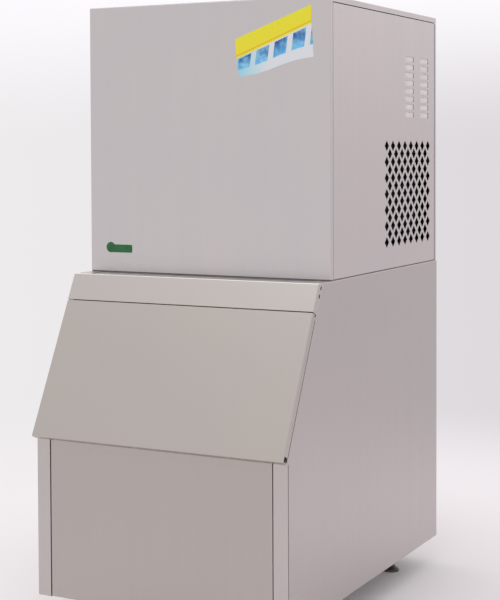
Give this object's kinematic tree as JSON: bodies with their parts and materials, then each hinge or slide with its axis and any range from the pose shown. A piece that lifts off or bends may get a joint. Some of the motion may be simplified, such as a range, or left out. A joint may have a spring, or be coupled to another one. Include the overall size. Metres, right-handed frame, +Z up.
{
  "type": "ice machine",
  "caption": "Stainless ice machine: a boxy ice-making head with a diamond grille and louvres on a storage bin with a sloping lid and levelling feet",
  "frame": {"origin": "on the floor, under the middle of the machine's width and depth", "axes": "+Z up, the lid and the front face -Y, the side with the grille and the louvres faces +X"},
  "size_m": [0.658, 0.9628, 1.4731],
  "materials": {
    "aluminium": "plain aluminium",
    "black_enamel": "black enamel",
    "black_rubber": "soft black rubber",
    "brushed_steel": "satin stainless sheet",
    "copper": "bright copper pipe",
    "foam": "rigid insulation foam",
    "foot_steel": "dark turned metal",
    "grey_plastic": "moulded grey plastic",
    "liner_steel": "plain stainless or zinc sheet",
    "nickel_plate": "nickel plate",
    "white_plastic": "moulded white plastic"
  },
  "bodies": {
    "machine": {"bin_back_panel": "brushed_steel", "bin_base_plate": "brushed_steel", "bin_drain_pipe": "white_plastic", "bin_front_panel": "brushed_steel", "bin_front_strip": "brushed_steel", "bin_insulation": "foam", "bin_liner": "liner_steel", "bin_opening_frame": "white_plastic", "bin_side_panel_left": "brushed_steel", "bin_side_panel_right": "brushed_steel", "bin_top_frame": "brushed_steel", "compressor": "black_enamel", "compressor_mount_back_left": "black_rubber", "compressor_mount_back_right": "black_rubber", "compressor_mount_front_left": "black_rubber", "compressor_mount_front_right": "black_rubber", "condenser": "aluminium", "control_box": "liner_steel", "discharge_pipe": "copper", "evaporator_coil": "copper", "evaporator_plate": "nickel_plate", "evaporator_support_left": "white_plastic", "evaporator_support_right": "white_plastic", "fan_motor": "black_enamel", "fan_motor_bracket": "aluminium", "fan_shroud": "black_enamel", "float_valve": "white_plastic", "head_back_panel": "brushed_steel", "head_base_pan": "brushed_steel", "head_front_pan": "brushed_steel", "head_front_panel": "brushed_steel", "head_left_panel": "brushed_steel", "head_partition": "white_plastic", "head_right_panel": "brushed_steel", "head_top_cover": "brushed_steel", "ice_chute": "white_plastic", "lid_hinge_bracket_left": "nickel_plate", "lid_hinge_bracket_right": "nickel_plate", "liquid_pipe": "copper", "power_gland": "black_rubber", "pump_motor": "grey_plastic", "seat_gasket": "black_rubber", "suction_pipe": "copper", "water_distributor": "white_plastic", "water_inlet": "nickel_plate", "water_riser": "white_plastic", "water_trough": "white_plastic"},
    "lid": {"lid_shell": "brushed_steel", "lid_foam_core": "foam", "lid_inner_panel": "liner_steel", "lid_gasket": "black_rubber"},
    "curtain": {"water_curtain": "white_plastic"},
    "impeller": {"pump_impeller": "grey_plastic"},
    "float": {"float_arm": "white_plastic"},
    "fan": {"condenser_fan": "aluminium"},
    "levelling_foot_back_left": {"foot_back_left": "foot_steel"},
    "levelling_foot_back_right": {"foot_back_right": "foot_steel"},
    "levelling_foot_front_left": {"foot_front_left": "foot_steel"},
    "levelling_foot_front_right": {"foot_front_right": "foot_steel"}
  },
  "joints": [
    {"name": "lid_hinge", "type": "hinge", "parent": "machine", "child": "lid", "pos_m": [0, -0.32954, 0.74909], "axis": [-1, 0, 0], "range_deg": [0, 100]},
    {"name": "curtain_swing", "type": "hinge", "parent": "machine", "child": "curtain", "pos_m": [0, 0.0109, 1.4101], "axis": [-1, 0, 0], "range_deg": [0, 20]},
    {"name": "impeller_spin", "type": "hinge", "parent": "machine", "child": "impeller", "pos_m": [0.254, 0.0319, 0.8236], "axis": [0, 0, 1], "continuous": true},
    {"name": "float_swing", "type": "hinge", "parent": "machine", "child": "float", "pos_m": [-0.262, 0.0209, 0.9544], "axis": [0, 1, 0], "range_deg": [-12, 12]},
    {"name": "fan_spin", "type": "hinge", "parent": "machine", "child": "fan", "pos_m": [0.2417, 0.2589, 1.0186], "axis": [1, 0, 0], "continuous": true},
    {"name": "foot_back_left_thread", "type": "hinge", "parent": "machine", "child": "levelling_foot_back_left", "pos_m": [-0.249, 0.3244, 0.01], "axis": [0, 0, 1], "continuous": true},
    {"name": "foot_back_right_thread", "type": "hinge", "parent": "machine", "child": "levelling_foot_back_right", "pos_m": [0.249, 0.3244, 0.01], "axis": [0, 0, 1], "continuous": true},
    {"name": "foot_front_left_thread", "type": "hinge", "parent": "machine", "child": "levelling_foot_front_left", "pos_m": [-0.249, -0.3801, 0.01], "axis": [0, 0, 1], "continuous": true},
    {"name": "foot_front_right_thread", "type": "hinge", "parent": "machine", "child": "levelling_foot_front_right", "pos_m": [0.249, -0.3801, 0.01], "axis": [0, 0, 1], "continuous": true}
  ]
}
